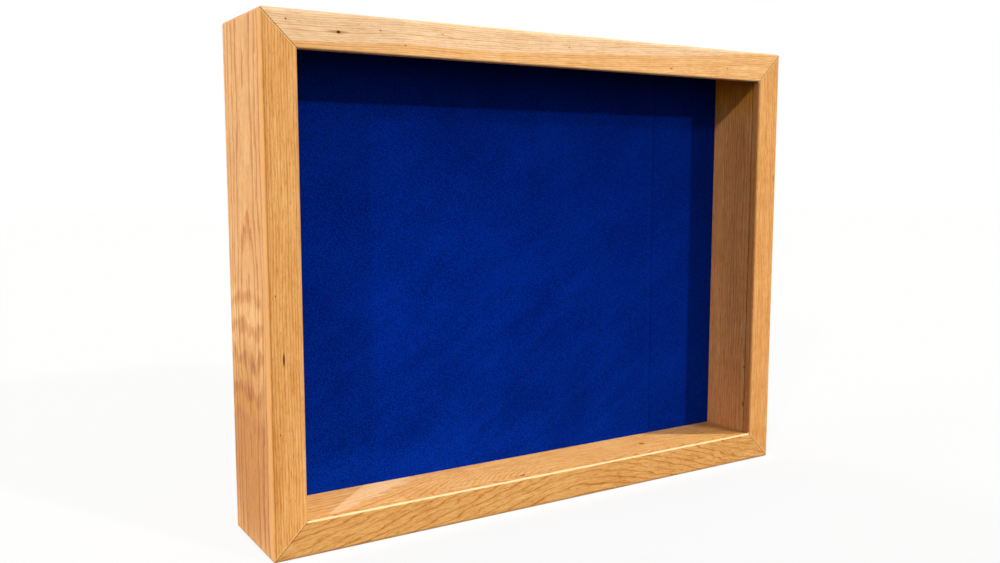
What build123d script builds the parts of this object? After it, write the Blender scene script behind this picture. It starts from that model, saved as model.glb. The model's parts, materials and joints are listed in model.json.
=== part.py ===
from build123d import *
import os

# Fishing lure display case: a mitred hardwood box frame with a clear front
# pane, loaded from behind.  Millimetres, +X right, +Y towards the wall, +Z up.
# The origin is the bottom centre of the whole part.

# ---------------------------------------------------------------- frame rails
opening_width = 610.0        # clear view between the side lips
opening_height = 457.0       # clear view between the top and bottom lips
face_width = 36.0            # a rail's width, seen from the front
wall_thickness = 19.0        # a rail's wall behind its lip
lip_thickness = 9.5          # the lip that the pane rests against
front_edge_round = 3.2       # outer front edges
lip_edge_round = 2.8         # the lip's front inner edge
rear_edge_round = 1.5        # outer rear edges
corner_round = 2.2           # the four outer corners, along the depth

# ------------------------------------------------------- pane, liners, backing
pane_thickness = 3.0
pane_clearance = 1.0         # between the pane's edge and the rail's wall
liner_depth = 65.7           # from the pane back
liner_setback = 1.0          # side and bottom liners, behind the lip's edge
top_liner_setback = 10.0     # the top liner, behind the lip's edge
liner_end_gap = 0.2          # where a side liner meets the top and bottom ones
cover_gap = 0.3              # suede to the liners' back edges
suede_thickness = 0.8
suede_turnover = 28.0        # suede folded onto the back of the pin board
pin_board_thickness = 30.0
back_panel_thickness = 6.0
panel_recess = 0.3           # the panel's back face, inside the frame's back
backing_clearance = 1.2      # covered board and panel to the rail's wall
finger_hole_radius = 11.0
finger_hole_inset = 48.0     # from the panel's top edge
finger_pocket_radius = 16.0  # in the pin board, behind the finger hole
finger_pocket_depth = 15.0

# -------------------------------------------------------------- corner splines
spline_thickness = 3.0
spline_width = 12.0
spline_length = 76.0
spline_corner_inset = 11.0   # from each outer face to the spline's middle
spline_clearance = 0.05

# ----------------------------------------------------------------- liner brads
brad_radius = 0.6
brad_grip = 9.0              # how far a brad goes into the rail
brad_clearance = 0.02
level_brad_inset = 74.0      # end brads of the top and bottom liners
upright_brad_inset = 96.0    # brads of the side liners, from the rails' walls

# ---------------------------------------------------------------- turn buttons
button_thickness = 1.6
button_pivot_radius = 6.5
button_tip_radius = 4.6
button_reach = 24.0          # pivot centre to tip centre
button_lift = 0.1            # underside of a button to the frame's back face
button_edge_round = 0.4
button_hole_clearance = 0.06
button_screw_radius = 1.75
button_screw_length = 15.0
button_screw_tip = 3.0
button_head_radius = 3.5
button_head_height = 2.2
button_head_round = 1.2
button_head_gap = 0.1        # head to button
button_spacing = 340.0       # between the two buttons of the top or bottom rail
side_button_height = 232.0   # of the side buttons, above the base

# -------------------------------------------------------------- keyhole hangers
plate_length = 46.0
plate_width = 15.0
plate_thickness = 1.6
plate_end_round = 3.0
plate_below_top = 109.0      # plate centre, below the top of the frame
plate_clearance = 0.1        # plate to the sides of its recess
key_entry_radius = 4.8       # lets the wall screw's head in
key_slot_width = 5.2
key_slot_rise = 10.0         # entry centre up to the slot's end centre
head_pocket_width = 11.6
head_pocket_length = 24.0
head_pocket_depth = 9.0      # from the frame's back face
plate_screw_spacing = 37.0
plate_screw_radius = 1.5
plate_screw_length = 15.0
plate_screw_tip = 2.5
plate_head_radius = 2.9
plate_head_height = 1.4

# ------------------------------------------------------- screws, all together
pilot_clearance = 0.02       # a screw's shank to the wood around it
head_clearance = 0.04        # a sunk head to its countersink
recess_length = 3.6          # cross recess, tip to tip
recess_width = 0.9
recess_depth = 0.9

# -------------------------------------------------------------------- bumpers
bumper_radius = 5.5
bumper_height = 5.0
bumper_edge_round = 1.5
bumper_end_inset = 34.0      # from the end of the top or bottom rail

# -------------------------------------------------------------- derived sizes
rebate = face_width - wall_thickness
case_width = opening_width + 2 * face_width
case_height = opening_height + 2 * face_width
pane_back = lip_thickness + pane_thickness
liner_back = pane_back + liner_depth
suede_front = liner_back + cover_gap
board_front = suede_front + suede_thickness
board_back = board_front + pin_board_thickness
panel_front = board_back + suede_thickness
panel_back = panel_front + back_panel_thickness
case_depth = panel_back + panel_recess
front = -(case_depth + bumper_height) / 2  # Y of the front face
inner_width = case_width - 2 * wall_thickness
inner_height = case_height - 2 * wall_thickness
liner_thickness = rebate - liner_setback
top_liner_thickness = rebate - top_liner_setback
rail_middle = wall_thickness / 2
cover_width = inner_width - 2 * backing_clearance
cover_height = inner_height - 2 * backing_clearance
board_width = cover_width - 2 * suede_thickness
board_height = cover_height - 2 * suede_thickness
stack_height = button_lift + button_thickness + button_head_gap  # under a head

SPINS = {"bottom": 0, "right": -90, "top": 180, "left": 90}
FEET = {
    "bottom": (0, 0, 0),
    "right": (case_width / 2, 0, case_height / 2),
    "top": (0, 0, case_height),
    "left": (-case_width / 2, 0, case_height / 2),
}


# -------------------------------------------------------------------- placing
def at_side(side, shape):
    """A shape made for the bottom rail, turned to one side of the frame.

    In the bottom rail's place X runs along the rail from its middle, and Z
    runs inward from its outer face."""
    return Pos(*FEET[side]) * Rot(0, SPINS[side], 0) * shape


def block(x_range, y_range, z_range):
    """A box between limits on each axis, with Y counted from the front face."""
    ranges = (x_range, y_range, z_range)
    size = [high - low for low, high in ranges]
    middle = [(high + low) / 2 for low, high in ranges]
    return Pos(middle[0], middle[1] + front, middle[2]) * Box(*size)


def on_back(depth, along, inward):
    """A place behind the bottom rail whose Z points to the wall, at a depth."""
    return Pos(along, front + depth, inward) * Rot(-90, 0, 0)


def round_corner(section, corner, radius):
    """Round the corner of a flat section that lies nearest to a point."""
    nearest = section.vertices().sort_by_distance(Vector(*corner, 0))[0]
    return fillet(nearest, radius)


def group(solids):
    """Separate solids that share one file."""
    return Compound(children=list(solids))


# --------------------------------------------------------------------- screws
def cross_recess():
    """The cross in a screw's head, cut down from the plane Z = 0."""
    arm = Box(recess_length, recess_width, 2 * recess_depth)
    return arm + Rot(0, 0, 90) * arm


def turned(points):
    """A solid of revolution about Z from points of radius and height."""
    outline = make_face(Polyline(*points, close=True))
    return revolve(Plane.XZ * outline, Axis.Z)


def pan_screw():
    """A turn button's screw, with the underside of its head at Z = 0."""
    head = Pos(0, 0, button_head_height / 2)
    head = head * Cylinder(button_head_radius, button_head_height)
    head = fillet(head.edges().sort_by(Axis.Z)[-1], button_head_round)
    shank = turned([
        (0, 0), (button_screw_radius, 0),
        (button_screw_radius, button_screw_tip - button_screw_length),
        (0, -button_screw_length),
    ])
    return head + shank - Pos(0, 0, button_head_height) * cross_recess()


def sunk_screw():
    """A hanger plate's screw, with the top of its sunk head at Z = 0."""
    body = turned([
        (0, 0), (plate_head_radius, 0),
        (plate_screw_radius, -plate_head_height),
        (plate_screw_radius, plate_screw_tip - plate_screw_length),
        (0, -plate_screw_length),
    ])
    return body - cross_recess()


def pilot_hole(radius, depth):
    """A blind hole that goes down from Z = 0."""
    return Pos(0, 0, -depth / 2) * Cylinder(radius + pilot_clearance, depth)


# ---------------------------------------------------------------- where things sit
def button_places(side):
    """Distances of a side's turn buttons from its middle, along it."""
    if side in ("bottom", "top"):
        return [-button_spacing / 2, button_spacing / 2]
    offset = side_button_height - case_height / 2
    return [offset if side == "right" else -offset]


def bumper_places():
    """The two bumpers of the top or bottom rail, along it."""
    reach = case_width / 2 - bumper_end_inset
    return [-reach, reach]


def brad_places(side):
    """A liner's brads, along its side."""
    if side in ("bottom", "top"):
        reach = inner_width / 2 - level_brad_inset
        return [-reach, 0, reach]
    reach = inner_height / 2 - upright_brad_inset
    return [-reach, reach]


def plate_place(side):
    """The place of a hanger plate: X points up the stile, Z to the wall."""
    offset = case_height / 2 - plate_below_top
    along = offset if side == "right" else -offset
    turn = Rot(0, 0, 0 if side == "right" else 180)
    return on_back(case_depth, along, rail_middle) * turn


# ---------------------------------------------------------------------- splines
def corner_spline(right, top, clearance):
    """A spline across one corner's mitre, grown by a clearance all round."""
    strip = Box(spline_width + 2 * clearance, spline_length + 2 * clearance,
                spline_thickness + 2 * clearance)
    middle = front + (lip_thickness + case_depth) / 2
    across = case_width / 2 - spline_corner_inset
    height = case_height - spline_corner_inset if top else spline_corner_inset
    turn = -45 if right == top else 45
    return Pos(across if right else -across, middle, height) * Rot(0, -turn, 0) * strip


def corner_splines(clearance):
    """The splines of all four corners."""
    corners = [(False, False), (True, False), (False, True), (True, True)]
    return [corner_spline(right, top, clearance) for right, top in corners]


# -------------------------------------------------------------------- the rails
def rail_section():
    """A rail's L section: X is inward from the outer face, Y is the depth."""
    section = make_face(Polyline(
        (0, 0), (face_width, 0), (face_width, lip_thickness),
        (wall_thickness, lip_thickness), (wall_thickness, case_depth),
        (0, case_depth), close=True,
    ))
    section = round_corner(section, (0, 0), front_edge_round)
    section = round_corner(section, (face_width, 0), lip_edge_round)
    return round_corner(section, (0, case_depth), rear_edge_round)


def mitre_mask(side):
    """All the room that belongs to one side: a wedge cut at 45 degrees."""
    length = case_width if side in ("bottom", "top") else case_height
    wedge = make_face(Polyline(
        (-length / 2, 0), (length / 2, 0),
        (length / 2 - face_width, face_width),
        (-length / 2 + face_width, face_width), close=True,
    ))
    upright = Plane(origin=(0, front + case_depth, 0), x_dir=(1, 0, 0), z_dir=(0, -1, 0))
    return extrude(upright * wedge, case_depth)


def frame_outline():
    """The whole frame's outer block, with its four corners rounded."""
    upright = Plane(origin=(0, front + case_depth, case_height / 2),
                    x_dir=(1, 0, 0), z_dir=(0, -1, 0))
    outline = RectangleRounded(case_width, case_height, corner_round)
    return extrude(upright * outline, case_depth)


def liner_brad(side, along, clearance):
    """One brad, through its liner and into the rail."""
    thickness = top_liner_thickness if side == "top" else liner_thickness
    length = thickness + brad_grip
    deep = front + pane_back + liner_depth / 2
    low = wall_thickness - brad_grip
    shank = Cylinder(brad_radius + clearance, length)
    return at_side(side, Pos(along, deep, low + length / 2) * shank)


def plate_pockets():
    """What a stile loses for its hanger plate, in the plate's own place."""
    seat = RectangleRounded(plate_length + 2 * plate_clearance,
                            plate_width + 2 * plate_clearance, plate_end_round)
    pocket = Pos(key_slot_rise / 2, 0) * SlotOverall(head_pocket_length, head_pocket_width)
    cuts = [extrude(seat, -plate_thickness), extrude(pocket, -head_pocket_depth)]
    for end in (-1, 1):
        hole = pilot_hole(plate_screw_radius, plate_screw_length)
        cuts.append(Pos(end * plate_screw_spacing / 2, 0, 0) * hole)
    return cuts


def rail(side):
    """One rail, mitred at both ends, with its slots, pilots and pockets."""
    length = case_width if side in ("bottom", "top") else case_height
    end = Plane(origin=(length / 2, front, 0), x_dir=(0, 0, 1), z_dir=(-1, 0, 0))
    stick = extrude(end * rail_section(), length) & mitre_mask(side)
    depth = button_screw_length - stack_height
    for along in button_places(side):
        stick -= on_back(case_depth, along, rail_middle) * pilot_hole(
            button_screw_radius, depth)
    if side in ("left", "right"):
        for cut in plate_pockets():
            stick -= plate_place(side) * cut
    stick = at_side(side, stick) & frame_outline()
    for along in brad_places(side):
        stick -= liner_brad(side, along, brad_clearance)
    for spline in corner_splines(spline_clearance):
        stick -= spline
    return stick


# ------------------------------------------------------------ pane and liners
def front_pane():
    """The clear pane, behind the lip."""
    half = inner_width / 2 - pane_clearance
    low = wall_thickness + pane_clearance
    return block((-half, half), (lip_thickness, pane_back), (low, case_height - low))


def liner(side):
    """One liner: it holds the pane forward and lines the rail's wall."""
    if side in ("bottom", "top"):
        thickness = top_liner_thickness if side == "top" else liner_thickness
        half = inner_width / 2
        shape = block((-half, half), (pane_back, liner_back),
                      (wall_thickness, wall_thickness + thickness))
        shape = at_side(side, shape)
    else:
        low = wall_thickness + liner_thickness + liner_end_gap
        high = case_height - wall_thickness - top_liner_thickness - liner_end_gap
        outer = inner_width / 2
        inner = outer - liner_thickness
        span = (inner, outer) if side == "right" else (-outer, -inner)
        shape = block(span, (pane_back, liner_back), (low, high))
    for along in brad_places(side):
        shape -= liner_brad(side, along, brad_clearance)
    return shape


# --------------------------------------------------------------- the backing
def centred(width, height, depths):
    """A board in the middle of the frame, between two depths."""
    middle = case_height / 2
    return block((-width / 2, width / 2), depths,
                 (middle - height / 2, middle + height / 2))


def finger_room(radius, depths):
    """A round hole through the backing between two depths, for a fingertip."""
    height = (case_height + cover_height) / 2 - finger_hole_inset
    low, high = depths
    return on_back((low + high) / 2, 0, height) * Cylinder(radius, high - low)


def board_block():
    """The pin board's whole block."""
    return centred(board_width, board_height, (board_front, board_back))


def pin_board():
    """The thick soft board that takes pins, with room for a fingertip to
    reach behind the back panel."""
    pocket = (board_back - finger_pocket_depth, board_back)
    return board_block() - finger_room(finger_pocket_radius, pocket)


def suede_cover():
    """Suede over the board's face and edges, turned over onto its back."""
    skin = centred(cover_width, cover_height, (suede_front, panel_front))
    skin -= board_block()
    window = centred(board_width - 2 * suede_turnover,
                     board_height - 2 * suede_turnover, (board_back, panel_front))
    return skin - window


def back_panel():
    """The stiff panel that closes the back, with a finger hole to lift it."""
    depths = (panel_front, panel_back)
    panel = centred(cover_width, cover_height, depths)
    return panel - finger_room(finger_hole_radius, depths)


# -------------------------------------------------------------- turn buttons
def turn_button():
    """A flat turn button along +X, pivoting about Z, underside at Z = 0."""
    tip = Pos(button_reach, 0) * Circle(button_tip_radius)
    outline = make_hull(Circle(button_pivot_radius).edges() + tip.edges())
    plate = extrude(outline, button_thickness)
    plate = fillet(plate.edges().group_by(Axis.Z)[-1], button_edge_round)
    hole = Circle(button_screw_radius + button_hole_clearance)
    return plate - extrude(hole, button_thickness)


def placed_button(side, along):
    """A button turned along its rail, clear of the panel."""
    pivot = on_back(case_depth + button_lift, along, rail_middle)
    return at_side(side, pivot * turn_button())


def button_screw(side, along):
    """The screw that a button turns on."""
    seat = on_back(case_depth + stack_height, along, rail_middle)
    return at_side(side, seat * pan_screw())


# ------------------------------------------------------------ keyhole hangers
def hanger_plate(side):
    """A steel plate with a keyhole, let in flush to a stile's back."""
    plate = extrude(RectangleRounded(plate_length, plate_width, plate_end_round),
                    -plate_thickness)
    slot = Pos(key_slot_rise / 2, 0) * Rectangle(key_slot_rise, key_slot_width)
    key = Circle(key_entry_radius) + slot
    key += Pos(key_slot_rise, 0) * Circle(key_slot_width / 2)
    plate -= extrude(key, -plate_thickness)
    spread = plate_head_radius + head_clearance
    narrow = plate_screw_radius + head_clearance
    sink = turned([
        (0, 0), (spread, 0), (narrow, -plate_head_height),
        (narrow, -plate_thickness), (0, -plate_thickness),
    ])
    for end in (-1, 1):
        plate -= Pos(end * plate_screw_spacing / 2, 0, 0) * sink
    return at_side(side, plate_place(side) * plate)


def plate_screws(side):
    """The two screws of a hanger plate."""
    ends = [end * plate_screw_spacing / 2 for end in (-1, 1)]
    return [at_side(side, plate_place(side) * Pos(x, 0, 0) * sunk_screw()) for x in ends]


# ------------------------------------------------------------------- bumpers
def bumper(side, along):
    """A rubber bumper that keeps the buttons' screws off the wall."""
    dome = Pos(0, 0, bumper_height / 2) * Cylinder(bumper_radius, bumper_height)
    dome = fillet(dome.edges().sort_by(Axis.Z)[-1], bumper_edge_round)
    return at_side(side, on_back(case_depth, along, rail_middle) * dome)


# ------------------------------------------------------------------- the nodes
def button_names():
    """Every turn button's name, with its side and its place along it."""
    ends = {"bottom": ("left", "right"), "top": ("right", "left")}
    for side in ("bottom", "top"):
        for end, along in zip(ends[side], button_places(side)):
            yield f"turn_button_{side}_{end}", side, along
    for side in ("left", "right"):
        yield f"turn_button_{side}", side, button_places(side)[0]


def nodes():
    """Every node of the part, by name."""
    sides = ("left", "right", "top", "bottom")
    rail_names = {"left": "left_stile", "right": "right_stile",
                  "top": "top_rail", "bottom": "bottom_rail"}
    for side in sides:
        yield rail_names[side], rail(side)
    yield "corner_splines", group(corner_splines(0))
    yield "front_pane", front_pane()
    for side in sides:
        yield f"{side}_liner", liner(side)
    brads = [liner_brad(side, along, 0) for side in sides for along in brad_places(side)]
    yield "liner_brads", group(brads)
    yield "pin_board", pin_board()
    yield "suede_cover", suede_cover()
    yield "back_panel", back_panel()
    for name, side, along in button_names():
        yield name, placed_button(side, along)
    screws = [button_screw(side, along) for name, side, along in button_names()]
    yield "turn_button_screws", group(screws)
    for side in ("left", "right"):
        yield f"{side}_hanger_plate", hanger_plate(side)
    yield "hanger_plate_screws", group(plate_screws("left") + plate_screws("right"))
    bumpers = [bumper(side, along) for side in ("bottom", "top")
               for along in bumper_places()]
    yield "wall_bumpers", group(bumpers)


os.makedirs("parts", exist_ok=True)
for name, shape in nodes():
    export_step(shape, f"parts/{name}.step")
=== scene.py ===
import json
import logging
import math
from dataclasses import dataclass
from enum import Enum
from typing import Any, Callable, Iterable, Mapping, Optional, Sequence, Union

import bmesh
import bpy
from bmesh.types import BMesh, BMVert
from bpy.types import ID, Material, Mesh, Node, NodeSocket, NodeTree, Object
from mathutils import Matrix, Vector, noise


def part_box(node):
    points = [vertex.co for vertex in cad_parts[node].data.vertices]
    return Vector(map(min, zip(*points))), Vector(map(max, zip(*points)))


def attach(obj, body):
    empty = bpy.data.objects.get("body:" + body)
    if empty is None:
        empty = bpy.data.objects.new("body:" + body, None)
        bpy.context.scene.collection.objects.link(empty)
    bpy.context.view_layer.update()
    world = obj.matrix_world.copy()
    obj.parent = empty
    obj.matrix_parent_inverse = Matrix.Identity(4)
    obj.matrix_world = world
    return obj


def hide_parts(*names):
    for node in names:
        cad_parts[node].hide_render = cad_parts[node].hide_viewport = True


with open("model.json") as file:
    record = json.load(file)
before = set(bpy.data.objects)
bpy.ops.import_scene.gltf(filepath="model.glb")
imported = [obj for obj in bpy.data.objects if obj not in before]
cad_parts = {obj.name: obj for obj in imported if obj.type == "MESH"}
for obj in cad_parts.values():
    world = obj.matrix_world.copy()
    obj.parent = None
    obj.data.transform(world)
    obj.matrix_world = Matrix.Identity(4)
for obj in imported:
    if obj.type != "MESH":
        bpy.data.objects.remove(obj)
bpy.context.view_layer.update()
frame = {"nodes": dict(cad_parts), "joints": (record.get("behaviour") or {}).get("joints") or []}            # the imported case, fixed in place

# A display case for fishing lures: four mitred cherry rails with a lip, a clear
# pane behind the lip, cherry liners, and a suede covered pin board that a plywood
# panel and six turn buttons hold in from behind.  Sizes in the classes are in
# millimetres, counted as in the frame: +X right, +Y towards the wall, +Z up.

log = logging.getLogger("display_case")
logging.basicConfig(level=logging.INFO, format="%(message)s")

MM = 0.001
FRONT = -60.7                # the depth of the rails' front faces
FACE = 36.0                  # how wide those faces are
FOLD = 199.5                 # where the suede's pressed fold is
RAILS = {"left": "left_stile", "right": "right_stile", "top": "top_rail", "bottom": "bottom_rail"}

Colour = tuple[float, float, float]
Point = tuple[float, float, float]
Pair = tuple[float, float]


def tinted(colour: Colour, by: Colour) -> Colour:
    """A colour multiplied by another."""
    return tuple(value * share for value, share in zip(colour, by))


# ------------------------------------------------------------------ node trees
def operator(operation: str, swapped: bool = False) -> Callable[["Wire", "Number"], "Wire"]:
    """Makes a method that adds a Math node, with its wire second if swapped."""
    def method(wire: "Wire", other: "Number") -> "Wire":
        """The node's result."""
        return wire.graph.math(operation, *((other, wire) if swapped else (wire, other)))
    return method


class Wire:
    """A number socket of a node tree: arithmetic on it adds Math nodes."""

    def __init__(self, graph: "Graph", socket: NodeSocket) -> None:
        """Keeps the socket and the graph that it belongs to."""
        self.graph, self.socket = graph, socket

    def __neg__(self) -> "Wire":
        """Opposite."""
        return self * -1.0

    __add__ = __radd__ = operator("ADD")
    __mul__ = __rmul__ = operator("MULTIPLY")
    __sub__, __rsub__ = operator("SUBTRACT"), operator("SUBTRACT", True)
    __truediv__ = operator("DIVIDE")


Number = Union[Wire, float]
Value = Union[Wire, Node, NodeSocket, float, int, bool, tuple, str]


class Graph:
    """A node tree that is being made, for a material or for geometry."""

    def __init__(self, tree: NodeTree) -> None:
        """Empties the tree."""
        self.tree = tree
        tree.nodes.clear()

    def node(self, kind: str, settings: Optional[Mapping[str, Any]] = None,
             inputs: Optional[Mapping[Union[str, int], Value]] = None) -> Node:
        """Adds a node.

        Args:
            kind: The node's type.
            settings: Its properties, such as an operation, which are set first.
            inputs: Values or links of its sockets, by name or place.
        Returns:
            The node.
        """
        node = self.tree.nodes.new(kind)
        for name, value in (settings or {}).items():
            setattr(node, name, value)
        for name, value in (inputs or {}).items():
            self.feed(node.inputs[name], value)
        return node

    def feed(self, socket: NodeSocket, value: Value) -> None:
        """Links a wire, an output or a node's first output, or sets a value."""
        if isinstance(value, Wire):
            value = value.socket
        elif isinstance(value, Node):
            value = value.outputs[0]
        if isinstance(value, NodeSocket):
            self.tree.links.new(value, socket)
        else:
            socket.default_value = value

    def math(self, operation: str, *values: Number) -> Wire:
        """Adds a Math node and gives its result."""
        node = self.node("ShaderNodeMath", {"operation": operation}, dict(enumerate(values)))
        return Wire(self, node.outputs[0])

    def vector(self, x: Value, y: Value, z: Value) -> Node:
        """Joins three numbers into a vector."""
        return self.node("ShaderNodeCombineXYZ", None, {0: x, 1: y, 2: z})

    def parts(self, vector: Value) -> list[Wire]:
        """The three numbers of a vector."""
        node = self.node("ShaderNodeSeparateXYZ", None, {0: vector})
        return [Wire(self, socket) for socket in node.outputs]

    def vector_math(self, operation: str, *values: Value) -> Node:
        """Adds a Vector Math node."""
        return self.node("ShaderNodeVectorMath", {"operation": operation},
                         dict(enumerate(values)))

    def most(self, *values: Number) -> Wire:
        """The larger of two numbers."""
        return self.math("MAXIMUM", *values)

    def clamp(self, value: Number, high: float) -> Wire:
        """A number kept between 0 and a limit."""
        return self.math("MINIMUM", self.most(value, 0.0), high)

    def blend(self, factor: Number, first: Node, second: Node
              ) -> Node:
        """Mixes two shaders."""
        return self.node("ShaderNodeMixShader", None, {0: factor, 1: first, 2: second})


class ShaderGraph(Graph):
    """A material's tree, with the patterns that the finishes share."""

    def __init__(self, name: str) -> None:
        """Makes an empty material of this name."""
        self.material = bpy.data.materials.new(name)
        self.material.use_nodes = True
        super().__init__(self.material.node_tree)

    def place(self) -> list[Wire]:
        """Where a point is in the case, in millimetres."""
        coordinates = self.node("ShaderNodeTexCoord").outputs["Object"]
        scaled = self.vector_math("SCALE", coordinates)
        scaled.inputs["Scale"].default_value = 1 / MM
        return self.parts(scaled)

    def noise(self, x: Number, y: Number, z: Number, detail: float = 2.0,
              roughness: float = 0.5) -> Wire:
        """Cloud noise round zero, with features about one unit wide."""
        node = self.node("ShaderNodeTexNoise", None, {
            "Vector": self.vector(x, y, z), "Scale": 1.0,
            "Detail": detail, "Roughness": roughness})
        return Wire(self, node.outputs[0]) - 0.5

    def step(self, value: Value, low: float, high: float) -> Wire:
        """A soft step from 0 at low to 1 at high."""
        node = self.node("ShaderNodeMapRange", {"interpolation_type": "SMOOTHSTEP"},
                         {0: value, 1: low, 2: high, 3: 0.0, 4: 1.0})
        return Wire(self, node.outputs[0])

    def fall(self, value: Value, low: float, high: float) -> Wire:
        """A soft step from 1 at low to 0 at high."""
        return 1 - self.step(value, low, high)

    def random(self, value: Number) -> Wire:
        """A random number from 0 to 1 for each whole value."""
        node = self.node("ShaderNodeTexWhiteNoise", {"noise_dimensions": "1D"}, {"W": value})
        return Wire(self, node.outputs[0])

    def mix(self, factor: Number, first: Value, second: Value) -> NodeSocket:
        """Blends two colours."""
        ends = [(*c, 1.0) if isinstance(c, tuple) else c for c in (first, second)]
        node = self.node("ShaderNodeMix", {"data_type": "RGBA"},
                         {0: factor, 6: ends[0], 7: ends[1]})
        return node.outputs[2]

    def shade(self, colour: Value, amount: Number) -> Node:
        """A colour made darker or lighter by a factor."""
        node = self.vector_math("SCALE", colour)
        self.feed(node.inputs["Scale"], amount)
        return node

    def bell(self, offset: Wire) -> Wire:
        """A soft peak, 1 where the offset is 0 and gone past 2."""
        return self.math("EXPONENT", -(offset * offset))

    def bump(self, height: Wire, depth: float) -> Node:
        """A relief of that depth in millimetres where height changes by one."""
        return self.node("ShaderNodeBump", None, {
            "Strength": 1.0, "Distance": depth * MM, "Height": height})

    def principled(self, colour: Value, roughness: Number, shine: float, normal: Node,
                   others: Optional[Mapping[str, Value]] = None) -> Material:
        """Ends the tree in a Principled BSDF.

        Args:
            colour: The base colour.
            roughness: The roughness.
            shine: The specular level.
            normal: The relief.
            others: More of the shader's sockets, by name.
        Returns:
            The finished material.
        """
        return self.surface(self.node("ShaderNodeBsdfPrincipled", None, {
            "Base Color": colour, "Roughness": roughness, "Specular IOR Level": shine,
            "Normal": normal, **(others or {})}))

    def surface(self, shader: Node) -> Material:
        """Ends the tree in this shader."""
        self.node("ShaderNodeOutputMaterial", None, {"Surface": shader})
        return self.material


# -------------------------------------------------------------------- finishes
class Grain(Enum):
    """Which way a board's grain runs."""
    LEVEL = "along the width"
    UPRIGHT = "up and down"


@dataclass(frozen=True)
class Fleck:
    """A pin knot, pitch streak or darker cloud in a board, or a painted highlight or painted shade on
    one.

    A stain multiplies the wood's colour, so the grain shows through it."""
    at: Point
    size: Point
    depth: float = 0.9
    colour: Colour = (0.26, 0.05, 0.005)
    ragged: float = 0.8
    stain: bool = False


@dataclass(frozen=True)
class PaintedLightWedge:
    """A painted pool of light or painted shadow: a paler or darker wedge on a board's face, from a
    tip to a broad end.
    """
    tip: Pair
    end: Pair
    half_widths: Pair
    depth: float
    colour: Colour


@dataclass(frozen=True)
class Mitre:
    """Where a board's mitred ends and front edges are, for the glue line, the painted edge highlights
    and the painted shade at the corner tips.
    """
    outer: float
    inward: float
    middle: float
    half: float


@dataclass(frozen=True)
class Swell:
    """A bulge in a log's rings, which shows as a closed loop on a flat face."""
    at: float
    length: float
    amount: float
    breadth: float = 50.0


@dataclass(frozen=True)
class Ripple:
    """Darker bars across a board, where its fibres wave."""
    first: float
    spacing: float
    lean: float
    amount: float
    fade: tuple[float, float, float, float]
    behind: Pair


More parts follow.
